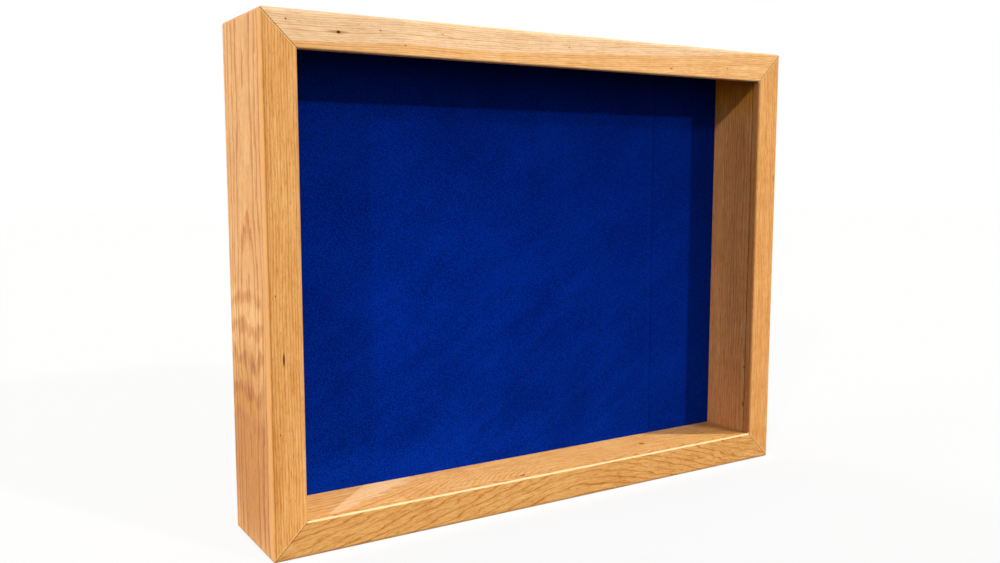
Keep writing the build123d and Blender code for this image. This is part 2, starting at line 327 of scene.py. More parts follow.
@dataclass(frozen=True)
class Cherry:
    """Oiled cherry, cut from a log whose rings show on every face.

    The growth rings are round the log's pith, which lies beside the board."""
    name: str
    grain: Grain
    pith: Pair
    tone: Colour
    late: Colour = (0.82, 0.58, 0.34)
    # The next two fields paint a highlight along the rounded front edges: its colour, then its
    # strength on the outer edge and on the lip's edge.
    highlight_colour: Colour = (0.80, 0.56, 0.25)
    painted_highlight: Pair = (0.0, 0.0)
    pore: Colour = (0.56, 0.14, 0.008)
    mitre_highlight: Colour = (0.99, 0.70, 0.34)
    glue: Colour = (0.24, 0.05, 0.004)
    ring: float = 2.1
    line: float = 0.9
    onset: float = 0.25
    vein: float = 0.0
    front_line: float = 1.0
    fine: float = 0.8
    coarse: float = 0.35
    uneven: float = 1.8
    tilt: float = 0.0
    bow: float = 0.0
    swell: Optional[Swell] = None
    swirl: float = 3.0
    curl: float = 0.05
    sapwood: Optional[float] = None
    sap_tone: Colour = (1.0, 0.69, 0.415)
    ripple: Optional[Ripple] = None
    flecks: tuple[Fleck, ...] = ()
    painted_light_wedges: tuple[PaintedLightWedge, ...] = ()
    mitre: Optional[Mitre] = None
    seed: float = 0.0

    def radius(self, g: ShaderGraph, along: Wire, depth: Wire, cross: Wire) -> Wire:
        """How far a point is from the pith, as the log grew.

        Args:
            g: The material's tree.
            along: The place along the grain.
            depth: The place from front to back.
            cross: The place across the board's face.
        Returns:
            The distance in millimetres.
        """
        wander = g.noise(along * 0.006 + self.seed, depth * 0.022, cross * 0.022 + 3.1)
        drift = g.noise(along * 0.006 + 7.7, depth * 0.022 + self.seed, cross * 0.022)
        to_depth = depth - self.pith[0] + wander * self.swirl
        to_cross = cross - self.pith[1] - along * self.tilt + drift * self.swirl
        if self.bow:
            to_cross = to_cross - along * along * self.bow
        radius = g.math("SQRT", to_depth * to_depth + to_cross * to_cross)
        if self.swell:
            far = g.bell((along - self.swell.at) / self.swell.length)
            radius = radius + far * g.bell(to_depth / self.swell.breadth) * self.swell.amount
        return radius

    def material(self) -> Material:
        """Builds the wood."""
        g = ShaderGraph(self.name)
        x, depth, z = g.place()
        along, cross = (x, z) if self.grain is Grain.LEVEL else (z, x)
        seed = self.seed

        wobble = g.noise(along * 0.03 + seed, depth * 0.16, cross * 0.16, 5.0, 0.6)
        uneven = g.noise(along * 0.010 + seed, depth * 0.07, cross * 0.07 + 2.0, 2.0)
        radius = self.radius(g, along, depth, cross)
        rings = radius / self.ring + (wobble * 0.5 + uneven) * self.uneven
        year = g.math("FLOOR", rings)
        part = rings - year
        broken = g.noise(along * 0.06, year * 0.37 + seed, cross * 0.05, 4.0, 0.75)
        dense = g.step(part, self.onset, 0.90) + g.step(part, 0.80, 0.88) * self.vein
        strength = 0.35 + g.random(year + seed) * 0.65 + broken * 1.4
        late = g.clamp(dense * g.fall(part, 0.93, 1.0) * strength, 1.0) * self.line
        if self.front_line != 1.0:
            late = late * (1 + (g.step(depth, -58.0, -52.0) - 1) * (1 - self.front_line))

        follow, across = radius * 0.9, (depth + cross) * self.fine
        fibre = g.noise(along * 0.05 + seed, follow, across, 5.0, 0.8)
        pores = g.step(g.noise(along * 0.11, follow * 1.1 + seed, across * 1.3, 2.0, 0.6),
                       0.05, 0.16)
        coarse = g.noise(along * 0.018 + seed, depth * 0.26, cross * 0.26, 3.0, 0.7)
        cloud = g.noise(along * 0.014, depth * 0.03 + seed, cross * 0.03, 3.0)
        curl = g.step(g.noise(along * 0.06 + seed, depth * 0.011, cross * 0.011, 2.0), 0.0, 0.25)

        colour = g.mix(late, tinted(self.tone, (1.05, 1.05, 1.05)), tinted(self.tone, self.late))
        if self.sapwood is not None:
            pale = g.mix(late, self.sap_tone, tinted(self.sap_tone, self.late))
            outer = g.step(radius + wobble * 1.6, self.sapwood - 0.6, self.sapwood + 0.6)
            colour = g.mix(outer, colour, pale)
        light = 1.02 + fibre * 0.95 + coarse * self.coarse + cloud * 0.16 - curl * self.curl
        if self.ripple:
            bar = self.ripple
            shift = depth * bar.lean + cloud * bar.spacing * 1.8
            wave = g.math("COSINE", (along - bar.first + shift) * (math.tau / bar.spacing))
            band = g.step(along, *bar.fade[:2]) * g.fall(along, *bar.fade[2:])
            light = light - ((g.step(wave + wobble * 2.4 + uneven * 3.4, -0.5, 1.3) - 0.4)
                             * bar.amount * band * g.step(depth, *bar.behind))
        colour = g.mix(pores * 0.5, colour, self.pore)
        deeper = g.node("ShaderNodeGamma", None, {0: colour, 1: 2.05 - light * 1.05})
        colour = g.shade(deeper, 0.48 + light * 0.52)
        # Painted pools of light and painted shadows, as wedges.
        for streak in self.painted_light_wedges:
            run = (streak.end[0] - streak.tip[0], streak.end[1] - streak.tip[1])
            length = math.hypot(*run)
            far_x, far_y = x - streak.tip[0], depth - streak.tip[1]
            part_way = (far_x * run[0] + far_y * run[1]) / length ** 2
            off = (far_x * run[1] - far_y * run[0]) / length
            narrow, wide = streak.half_widths
            ragged = g.most(off, 0.0) * (1 + wobble * 3 + uneven * 2) * 1.1
            reach = (ragged + g.most(-off, 0.0)) / (part_way * (wide - narrow) + narrow)
            mask = g.fall(reach, 0.85, 1.0) * g.step(part_way, 0.0, 0.06)
            colour = g.mix(mask * streak.depth, colour, streak.colour)
        for fleck in self.flecks:
            offset = g.vector_math("SUBTRACT", g.vector(x, depth, z), fleck.at)
            spread = g.vector_math("DIVIDE", offset, fleck.size)
            reach = Wire(g, g.vector_math("LENGTH", spread).outputs["Value"])
            mask = g.fall(reach + wobble * fleck.ragged, 0.35, 1.0)
            over = (g.vector_math("MULTIPLY", colour, fleck.colour) if fleck.stain
                    else fleck.colour)
            colour = g.mix(mask * fleck.depth, colour, over)
        if self.mitre:
            inward = (cross - self.mitre.outer) * self.mitre.inward
            front, lip = depth - FRONT, FACE - inward
            # Painted highlight along the rounded outer front edge and along the lip's edge.
            outer, inner = self.painted_highlight
            eased = (g.fall(inward, 0.9, 2.2) * g.fall(front, 1.6, 3.2) * outer
                     + g.fall(lip, 1.0, 1.8) * g.fall(front, 1.3, 2.4) * inner)
            colour = g.mix(eased * (1 + wobble * 0.8), colour, self.highlight_colour)
            end = self.mitre.half - g.math("ABSOLUTE", along - self.mitre.middle)
            # Painted shade: the rounded corner tips are darkened.
            tip = g.fall(g.most(end, inward), 1.5, 6.0)
            colour = g.mix(tip * 0.35, colour, tinted(self.tone, (0.55, 0.55, 0.55)))
            gap = end - inward
            joint = g.fall(gap, 0.25, 0.65)
            if self.grain is Grain.UPRIGHT:
                # Painted highlight: a pale line beside the mitre joint on the stiles' front faces.
                mitre_highlight = (g.step(gap, 0.5, 0.8) * g.fall(gap, 1.4, 2.0)
                        * g.fall(front, 1.5, 3.5))
                colour = g.mix(mitre_highlight * 0.7, colour, self.mitre_highlight)
            colour = g.mix(joint * 0.9, colour, self.glue)

        height = fibre * 0.35 - pores - late * 0.25
        return g.principled(colour, 0.40 + fibre * 0.18 + pores * 0.15, 0.14,
                            g.bump(height, 0.045), {"Coat Weight": 0.04, "Coat Roughness": 0.22})


@dataclass(frozen=True)
class Suede:
    """Royal blue suede with a brushed nap and one pressed fold, with painted shade towards the top
    and the right.
    """
    name: str = "blue_suede"
    deep: Colour = (0.0001, 0.0098, 0.150)
    lit: Colour = (0.0007, 0.0262, 0.330)
    brush_degrees: float = 33.0

    def material(self) -> Material:
        """Builds the suede."""
        g = ShaderGraph(self.name)
        x, y, z = g.place()
        turn = math.radians(self.brush_degrees)
        across = x * math.cos(turn) + z * math.sin(turn)
        up = z * math.cos(turn) - x * math.sin(turn)
        clouds = g.noise(x * 0.011, y * 0.011, z * 0.011 + 4.0, 3.0, 0.6)
        strokes = g.noise(across * 0.012, y * 0.02, up * 0.055, 3.0, 0.55)
        lower = g.fall(z + x * 0.15, 150.0, 330.0)
        nap = g.noise(x * 0.6, y * 0.6, z * 0.6, 3.0, 0.8)
        fine = g.noise(across * 0.4, y, up * 0.9, 2.0, 0.6)
        # The fold's colour: painted shade along its line, and a painted highlight just to its left.
        line, fold_highlight = g.bell((x - FOLD) / 1.1), g.bell((x - FOLD + 5.0) / 4.0)
        lift = g.clamp(0.5 + clouds + strokes * (0.4 + lower * 0.5) + nap * 3.6
                       + fine * 3.0 - line * 0.45 + fold_highlight * 0.12, 1.2)
        # Painted shade: darker towards the top and towards the right.
        painted_shade = (1.0 - g.step(z, 220.0, 500.0) * 0.34) * (1.0 - x / 1500.0)
        return g.principled(
            g.shade(g.mix(lift, self.deep, self.lit), painted_shade), 0.95, 0.02, g.bump(nap + fine, 0.12),
            {"Sheen Weight": 0.08, "Sheen Roughness": 0.5, "Sheen Tint": (0.0, 0.08, 0.9, 1.0)})


@dataclass(frozen=True)
class ClearPane:
    """A clear pane with a coating that keeps reflections off."""
    name: str = "clear_pane"

    def material(self) -> Material:
        """Builds the pane."""
        g = ShaderGraph(self.name)
        clear = g.node("ShaderNodeBsdfTransparent", None, {"Color": (0.992, 0.996, 0.994, 1.0)})
        gloss = g.node("ShaderNodeBsdfGlossy", None, {
            "Color": (0.86, 0.93, 1.0, 1.0), "Roughness": 0.02})
        facing = g.node("ShaderNodeLayerWeight", None, {"Blend": 0.5}).outputs["Facing"]
        return g.surface(g.blend(g.step(facing, 0.86, 1.0) * 0.4, clear, gloss))


@dataclass(frozen=True)
class Plywood:
    """Rotary cut birch plywood, with its plies at the edges."""
    name: str = "panel_ply"
    face: Colour = (0.730461, 0.527115, 0.304987)
    streak: Colour = (0.552011, 0.341914, 0.162029)
    glue: Colour = (0.262251, 0.122139, 0.045186)
    ply: float = 1.2
    front: float = 49.7
    back: float = 55.1

    def material(self) -> Material:
        """Builds the plywood."""
        g = ShaderGraph(self.name)
        x, y, z = g.place()
        bend = g.noise(x * 0.02, y * 0.1, z * 0.09, 3.0)
        height = g.noise(x * 0.0022, y * 0.1, z * 0.0065, 1.0) * 26 + bend * 1.1
        year = g.math("FLOOR", height)
        part = height - year
        bands = (g.step(part, 0.15, 0.88) * g.fall(part, 0.92, 1.0)
                 * (0.4 + g.random(year) * 0.6))
        fibre = g.noise(x * 0.05, y * 1.2, z * 1.1, 4.0, 0.7)
        layers = g.math("FRACT", (y - (self.front - 0.3)) / (2 * self.ply))
        glue = g.step(layers, 0.44, 0.5) * g.fall(layers, 0.9, 0.98)
        edge = (g.step(y, self.front, self.front + 0.2)
                * g.fall(y, self.back - 0.2, self.back))
        colour = g.mix(bands * 0.6, self.face, self.streak)
        colour = g.mix(glue * edge * 0.7, colour, self.glue)
        colour = g.shade(colour, 1.0 + fibre * 0.35)
        return g.principled(colour, 0.6 + fibre * 0.2, 0.35, g.bump(fibre, 0.05))


@dataclass(frozen=True)
class FibreBoard:
    """Soft brown fibre board, matted from short fibres."""
    name: str = "pin_board_fibre"
    dark: Colour = (0.215861, 0.122139, 0.05448)
    pale: Colour = (0.434154, 0.274677, 0.138432)
    speck: Colour = (0.107023, 0.05448, 0.023153)

    def material(self) -> Material:
        """Builds the board."""
        g = ShaderGraph(self.name)
        x, y, z = g.place()
        mat = g.noise(x * 0.5, y * 0.5, z * 0.9, 5.0, 0.7)
        speck = g.step(g.noise(x * 1.6, y * 1.6, z * 0.4, 2.0), 0.12, 0.2)
        colour = g.mix(speck * 0.5, g.mix(mat + 0.5, self.dark, self.pale), self.speck)
        return g.principled(colour, 0.95, 0.1, g.bump(mat, 0.5))


@dataclass(frozen=True)
class Metal:
    """A worn metal: a tone, fine scratches and a little tarnish."""
    name: str
    tone: Colour
    tarnish: Colour
    roughness: float = 0.3
    spangle: float = 0.0

    def material(self) -> Material:
        """Builds the metal."""
        g = ShaderGraph(self.name)
        x, y, z = g.place()
        scratch = g.noise(x * 0.5, y * 9.0, z * 9.0, 3.0, 0.7)
        stain = g.noise(x * 0.12, y * 0.12, z * 0.12, 4.0, 0.6)
        amount = g.step(stain, -0.02, 0.3) * 0.6 + scratch * 0.5
        roughness = self.roughness + scratch * 0.22 + stain * 0.12
        if self.spangle:
            cells = g.node("ShaderNodeTexVoronoi", None, {
                "Vector": g.vector(x, y, z), "Scale": 0.35})
            flake = g.parts(cells.outputs["Color"])[0]
            amount = amount + flake * self.spangle
            roughness = roughness + flake * self.spangle * 0.3
        return g.principled(g.mix(amount, self.tone, self.tarnish), roughness, 0.5,
                            g.bump(scratch, 0.01), {"Metallic": 1.0})


@dataclass(frozen=True)
class Rubber:
    """Dark rubber with a dull skin."""
    name: str = "bumper_rubber"
    dark: Colour = (0.018, 0.018, 0.02)
    pale: Colour = (0.035, 0.034, 0.036)

    def material(self) -> Material:
        """Builds the rubber."""
        g = ShaderGraph(self.name)
        x, y, z = g.place()
        skin = g.noise(x * 3.0, y * 3.0, z * 3.0, 3.0, 0.6)
        return g.principled(g.mix(skin + 0.5, self.dark, self.pale), 0.62 + skin * 0.2, 0.4,
                            g.bump(skin, 0.05))


# -------------------------------------------------------------------- geometry
def link(name: str, data: ID) -> Object:
    """Makes an object from a mesh, lamp or camera and puts it in the scene."""
    piece = bpy.data.objects.new(name, data)
    bpy.context.scene.collection.objects.link(piece)
    return piece


def mesh_of(name: str, make: Callable[[BMesh], None]) -> Mesh:
    """Makes a mesh with a function that works on a bmesh."""
    work = bmesh.new()
    make(work)
    mesh = bpy.data.meshes.new(name)
    work.to_mesh(mesh)
    work.free()
    return mesh


def final_mesh(piece: Object) -> Mesh:
    """A piece's mesh with its modifiers worked in."""
    bpy.context.view_layer.update()
    graph = bpy.context.evaluated_depsgraph_get()
    return bpy.data.meshes.new_from_object(piece.evaluated_get(graph))


def bake(piece: Object, name: str) -> Object:
    """Turns a piece with modifiers into a plain mesh of its own.

    Args:
        piece: The piece, which is removed.
        name: The new piece's name.
    Returns:
        The plain piece.
    """
    mesh = final_mesh(piece)
    bpy.data.objects.remove(piece)
    mesh.name = name
    return link(name, mesh)


def close(work: BMesh, distance: float = 1e-7) -> None:
    """Merges doubles and points the faces outwards."""
    bmesh.ops.remove_doubles(work, verts=work.verts, dist=distance)
    bmesh.ops.recalc_face_normals(work, faces=work.faces)


def wall(work: BMesh, first: Sequence[BMVert], second: Sequence[BMVert]) -> None:
    """Adds the faces between two closed rows of points."""
    for n, vert in enumerate(first):
        m = (n + 1) % len(first)
        work.faces.new((vert, first[m], second[m], second[n]))


def smooth(mesh: Mesh, degrees: float = 32.0) -> None:
    """Points the faces outwards and shades all but the sharp edges smooth."""
    work = bmesh.new()
    work.from_mesh(mesh)
    close(work, 1e-6)
    for face in work.faces:
        face.smooth = True
    work.to_mesh(mesh)
    work.free()
    mesh.set_sharp_from_angle(angle=math.radians(degrees))


def ease(piece: Object, width: float, segments: int = 2, degrees: float = 35.0) -> None:
    """Adds a bevel of that width in millimetres to edges sharper than an angle."""
    bevel = piece.modifiers.new("eased_edges", "BEVEL")
    bevel.width, bevel.segments = width * MM, segments
    bevel.limit_method, bevel.angle_limit = "ANGLE", math.radians(degrees)


def level(piece: Object, name: str) -> Object:
    """Bakes a piece with its flat faces shaded flat, up to its eased edges."""
    piece = bake(piece, f"{name}_eased")
    smooth(piece.data)
    weighted = piece.modifiers.new("level_faces", "WEIGHTED_NORMAL")
    weighted.weight, weighted.keep_sharp = 100, True
    return bake(piece, name)


def prism(outline: Sequence[Pair], low: float, high: float,
          place: Matrix = Matrix.Identity(4)) -> Mesh:
    """A flat outline raised between two heights, then put in place.

    Args:
        outline: Points in millimetres, in order.
        low: The lower height.
        high: The upper height.
        place: Where its own X, Y and Z axes go, in millimetres.
    Returns:
        The closed mesh, in metres.
    """
    def make(work: BMesh) -> None:
        """Two faces and the wall between them."""
        rows = [[work.verts.new(place @ Vector((a, b, height)) * MM) for a, b in outline]
                for height in (low, high)]
        wall(work, *rows)
        for row in rows:
            work.faces.new(row)
        close(work)
    return mesh_of("prism", make)


def arc(centre: Pair, radius: float, start: float, end: float, steps: int) -> list[Pair]:
    """Points on an arc, from one angle in degrees to another."""
    turns = [math.radians(start + (end - start) * n / steps) for n in range(steps + 1)]
    return [(centre[0] + radius * math.cos(turn), centre[1] + radius * math.sin(turn))
            for turn in turns]


def chain(name: str, points: Sequence[Point], closed: bool = False) -> Object:
    """A piece of edges alone, through points in millimetres."""
    pairs = [(n, n + 1) for n in range(len(points) - 1)]
    if closed:
        pairs.append((len(points) - 1, 0))
    mesh = bpy.data.meshes.new(name)
    mesh.from_pydata([(x * MM, y * MM, z * MM) for x, y, z in points], pairs, [])
    return link(name, mesh)


def cut(piece: Object, tools: Iterable[Mesh]) -> Object:
    """Cuts closed meshes out of a piece, and gives the piece back."""
    helpers = []
    for mesh in tools:
        helper = link("cutter", mesh)
        modifier = piece.modifiers.new("cut", "BOOLEAN")
        modifier.operation, modifier.solver, modifier.object = "DIFFERENCE", "EXACT", helper
        helpers.append(helper)
    piece.data = final_mesh(piece)
    piece.modifiers.clear()
    for helper in helpers:
        bpy.data.objects.remove(helper)
    return piece


def dress(piece: Object, material: Material) -> None:
    """Gives a piece one material."""
    piece.data.materials.clear()
    piece.data.materials.append(material)


def settle(piece: Object, material: Material, body: str,
           node: str) -> None:
    """Dresses a new piece and rides it on its body, in place of a CAD node.

    Args:
        piece: The piece, in place.
        material: Its material.
        body: The body that it moves with.
        node: The node that it stands for.
    """
    dress(piece, material)
    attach(piece, body)
    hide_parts(node)
    log.info("%s: %d faces, rides on %s", piece.name, len(piece.data.polygons), body)


class GeometryTree(Graph):
    """A geometry tree with named inputs, ending in its finish."""

    def __init__(self, name: str, inputs: Mapping[str, str]) -> None:
        """Makes a tree.

        Args:
            name: The tree's name.
            inputs: Each input's name and socket type, after the geometry.
        """
        self.group = bpy.data.node_groups.new(name, "GeometryNodeTree")
        super().__init__(self.group)
        face = self.group.interface
        face.new_socket("Geometry", in_out="INPUT", socket_type="NodeSocketGeometry")
        self.names = {key: face.new_socket(key, in_out="INPUT", socket_type=kind).identifier
                      for key, kind in {**inputs, "Finish": "NodeSocketMaterial"}.items()}
        face.new_socket("Geometry", in_out="OUTPUT", socket_type="NodeSocketGeometry")
        self.given = self.node("NodeGroupInput").outputs

    def number(self, name: str) -> Wire:
        """A number input as a wire."""
        return Wire(self, self.given[name])

    def finish(self, geometry: Node) -> None:
        """Makes instances real and sets the material."""
        real = self.node("GeometryNodeRealizeInstances", None, {0: geometry})
        coated = self.node("GeometryNodeSetMaterial", None, {
            "Geometry": real, "Material": self.given["Finish"]})
        self.node("NodeGroupOutput", None, {0: coated})

    def run(self, base: Object, name: str, values: Mapping[str, Any]
            ) -> Object:
        """Runs the tree on an object and keeps the result as a plain piece.

        Args:
            base: The object that it starts from, which is removed.
            name: The new piece's name.
            values: The inputs by name.
        Returns:
            The plain piece.
        """
        modifier = base.modifiers.new(self.group.name, "NODES")
        modifier.node_group = self.group
        for key, value in values.items():
            modifier[self.names[key]] = value
        return bake(base, name)


def mitred_length_tree() -> GeometryTree:
    """A section swept along a line, its ends mitred and their tips rounded."""
    g = GeometryTree("mitred_length", {
        "Section": "NodeSocketObject", "Half length": "NodeSocketFloat",
        "Tip round": "NodeSocketFloat"})
    line = g.node("GeometryNodeMeshToCurve", None, {0: g.given["Geometry"]})
    upright = g.node("GeometryNodeSetCurveNormal", {"mode": "Z_UP"}, {0: line})
    held = g.node("GeometryNodeObjectInfo", None, {0: g.given["Section"]})
    section = g.node("GeometryNodeMeshToCurve", None, {0: held.outputs["Geometry"]})
    swept = g.node("GeometryNodeCurveToMesh", None, {
        0: upright, 1: section, "Fill Caps": True})
    x, y, z = g.parts(g.node("GeometryNodeInputPosition"))
    half, tip = g.number("Half length"), g.number("Tip round")
    side = g.math("SIGN", x)
    reach = g.math("ABSOLUTE", x) - g.most(z, tip * (1 - math.sqrt(0.5)))
    past = g.most(reach - half + tip, 0.0)
    rise = tip - g.math("SQRT", g.most(tip * tip - past * past, 0.0))
    g.finish(g.node("GeometryNodeSetPosition", None, {
        "Geometry": swept, "Position": g.vector(side * reach, y, g.most(z, rise))}))
    return g


def fitting_tree() -> GeometryTree:
    """A fitting at every point, turned by chance and as long as the point says."""
    g = GeometryTree("repeated_fitting", {
        "Fitting": "NodeSocketObject", "Turn": "NodeSocketFloat", "Seed": "NodeSocketInt"})
    held = g.node("GeometryNodeObjectInfo", None, {0: g.given["Fitting"]})
    aim = g.node("GeometryNodeInputNamedAttribute", {"data_type": "FLOAT_VECTOR"},
                 {"Name": "aim"})
    stretch = g.node("GeometryNodeInputNamedAttribute", {"data_type": "FLOAT"},
                     {"Name": "stretch"})
    facing = g.node("FunctionNodeAlignRotationToVector", {"axis": "Z"}, {"Vector": aim})
    chance = g.node("FunctionNodeRandomValue", {"data_type": "FLOAT"}, {
        2: 0.0, 3: 1.0, "Seed": g.given["Seed"]})
    angle = Wire(g, chance.outputs[1]) * g.number("Turn")
    twist = g.node("FunctionNodeEulerToRotation", None, {0: g.vector(0.0, 0.0, angle)})
    turned = g.node("FunctionNodeRotateRotation", {"rotation_space": "LOCAL"},
                    {0: facing, 1: twist})
    g.finish(g.node("GeometryNodeInstanceOnPoints", None, {
        "Points": g.given["Geometry"], "Instance": held.outputs["Geometry"],
        "Rotation": turned, "Scale": g.vector(1.0, 1.0, stretch)}))
    return g


@dataclass(frozen=True)
class Spot:
    """Where a fitting goes: its origin, the way its Z points, and its length."""
    at: Point
    aim: Point
    stretch: float = 1.0


def spots(places: Sequence[Spot]) -> Object:
    """Loose points for fittings, as an object of points only."""
    mesh = bpy.data.meshes.new("spots")
    mesh.from_pydata([tuple(Vector(spot.at) * MM) for spot in places], [], [])
    mesh.attributes.new("aim", "FLOAT_VECTOR", "POINT")
    mesh.attributes.new("stretch", "FLOAT", "POINT")
    ways, lengths = mesh.attributes["aim"].data, mesh.attributes["stretch"].data
    for place, way, length in zip(places, ways, lengths):
        way.vector, length.value = place.aim, place.stretch
    return link("spots", mesh)


def lathe(points: Sequence[Pair], steps: int = 40) -> Mesh:
    """A closed shape turned about Z from points of radius and height."""
    def make(work: BMesh) -> None:
        """Joins each point's ring to the next, and closes the poles."""
        turns = [Matrix.Rotation(math.tau * n / steps, 3, "Z") for n in range(steps)]
        rings = [[work.verts.new(turn @ Vector((r, 0, h)) * MM) for turn in turns]
                 for r, h in points]
        for ring, following in zip(rings, rings[1:]):
            wall(work, ring, following)
        close(work)
    return mesh_of("lathe", make)


# --------------------------------------------------------------- the case itself
@dataclass
class Layout:
    """Sizes that the sub-assemblies share."""
    width: float = 682.0
    height: float = 529.0
    back: float = 55.7
    wall: float = 19.0
    lip: float = 9.5
    plate: Pair = (331.5, 420.0)

    def turn(self, side: str) -> Matrix:
        """The bottom rail's place, turned to a side: X along, Z inward."""
        x, z, spin = {"bottom": (0, 0, 0), "top": (0, self.height, 180),
                      "right": (self.width / 2, self.height / 2, -90),
                      "left": (-self.width / 2, self.height / 2, 90)}[side]
        return Matrix.Translation((x, 0, z)) @ Matrix.Rotation(math.radians(spin), 4, "Y")

    def length(self, side: str) -> float:
        """A side's whole length."""
        return self.width if side in ("bottom", "top") else self.height


@dataclass
class FrameRails:
    """The four mitred rails, with the recesses for the hanger plates."""
    layout: Layout
    front_round: float = 3.6
    lip_round: float = 2.0
    rear_round: float = 1.5
    tip_round: float = 4.5
    mitre_ease: float = 0.35
    seat: tuple[float, float, float] = (46.2, 15.2, 1.6)
    seat_round: float = 3.0
    pocket: tuple[float, float, float] = (24.0, 11.6, 9.0)
    pocket_rise: float = 5.0

    def section(self) -> Object:
        """The rail's section: X is the depth behind the front, Y is inward."""
        side, lip, deep = self.layout.wall, self.layout.lip, self.layout.back - FRONT
        front, inner, rear, near = (self.front_round, self.lip_round, self.rear_round,
                                    self.mitre_ease)
        points = [
            *arc((front, front), front, 180, 270, 8)[::-1],
            (0.0, front + near), (0.0, FACE - inner - near),
            *arc((inner, FACE - inner), inner, 180, 90, 8),
            (inner + near, FACE), (lip - near, FACE), (lip, FACE), (lip, FACE - near),
            (lip, side + near), (lip, side), (lip + near, side), (deep - near, side),
            (deep, side), (deep, side - near), (deep, rear + near),
            *arc((deep - rear, rear), rear, 0, -90, 5),
            (deep - rear - near, 0.0), (front + near, 0.0)]
        return chain("section", [(-a, -b, 0) for a, b in points], closed=True)

    def stations(self, side: str) -> Object:
        """The line that a rail's section follows, with points near its ends."""
        half, tip = self.layout.length(side) / 2, self.tip_round
        steps = [tip * part for part in (0.0, 0.12, 0.27, 0.45, math.sqrt(0.5), 1.0, 2.5)]
        places = [-half + s for s in steps] + [half - s for s in steps[::-1]]
        return chain("stations", [(x, 0, 0) for x in places])

    def recess_tools(self, side: str) -> list[Mesh]:
        """What a stile loses at the back for its hanger plate."""
        x, z = self.layout.plate
        place = (Matrix.Translation((x if side == "right" else -x, self.layout.back, z))
                 @ Matrix(((0, -1, 0, 0), (0, 0, 1, 0), (1, 0, 0, 0), (0, 0, 0, 1))))
        length, width, depth = self.seat
        half_x, half_y = length / 2 - self.seat_round, width / 2 - self.seat_round
        seat = [point for turn, x_sign, y_sign in (
                    (0, 1, 1), (90, -1, 1), (180, -1, -1), (270, 1, -1))
                for point in arc((x_sign * half_x, y_sign * half_y), self.seat_round,
                                 turn, turn + 90, 6)]
        long, wide, deep = self.pocket
        reach = (long - wide) / 2
        pocket = (arc((self.pocket_rise + reach, 0), wide / 2, -90, 90, 14)
                  + arc((self.pocket_rise - reach, 0), wide / 2, 90, 270, 14))
        return [prism(seat, -depth, 1.0, place), prism(pocket, -deep, 1.5, place)]

    def build(self, woods: Mapping[str, Material]) -> None:
        """Makes, dresses and settles the four rails."""
        tree, section = mitred_length_tree(), self.section()
        for side, node in RAILS.items():
            piece = tree.run(self.stations(side), f"{node}_swept", {
                "Section": section, "Half length": self.layout.length(side) / 2 * MM,
                "Tip round": self.tip_round * MM, "Finish": woods[side]})
            piece.data.transform(
                Matrix.Scale(MM, 4) @ self.layout.turn(side)
                @ Matrix.Translation((0, FRONT, 0)) @ Matrix.Scale(1 / MM, 4))
            smooth(piece.data)
            ease(piece, self.mitre_ease)
            if side in ("left", "right"):
                cut(piece, self.recess_tools(side))
            settle(level(piece, f"{node}_wood"), woods[side], "frame", node)
        bpy.data.objects.remove(section)


def box_mesh(low: Point, high: Point) -> Mesh:
    """A closed block between two corners, in millimetres."""
    outline = [(low[0], low[1]), (high[0], low[1]), (high[0], high[1]), (low[0], high[1])]
    return prism(outline, low[2], high[2])


def corners(node: str) -> tuple[Point, Point]:
    """A solid's two corners, in millimetres."""
    low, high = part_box(node)
    return tuple(low / MM), tuple(high / MM)


def eased_block(node: str, name: str, edge: float) -> Object:
    """A piece in the shape of a node's box, with eased edges."""
    piece = link(f"{node}_block", box_mesh(*corners(node)))
    ease(piece, edge)
    return level(piece, name)


@dataclass
class Liners:
    """The four cherry liners."""
    edge: float = 0.5

    def build(self, woods: Mapping[str, Material]) -> None:
        """Makes, dresses and settles the liners."""
        for side, wood in woods.items():
            node = f"{side}_liner"
            piece = eased_block(node, f"{node}_board", self.edge)
            settle(piece, wood, "frame", node)


@dataclass
class Pane:
    """The clear pane, its arrises ground off."""
    edge: float = 0.4

    def build(self) -> None:
        """Makes, dresses and settles the pane."""
        piece = eased_block("front_pane", "front_pane_sheet", self.edge)
        settle(piece, ClearPane().material(), "frame", "front_pane")


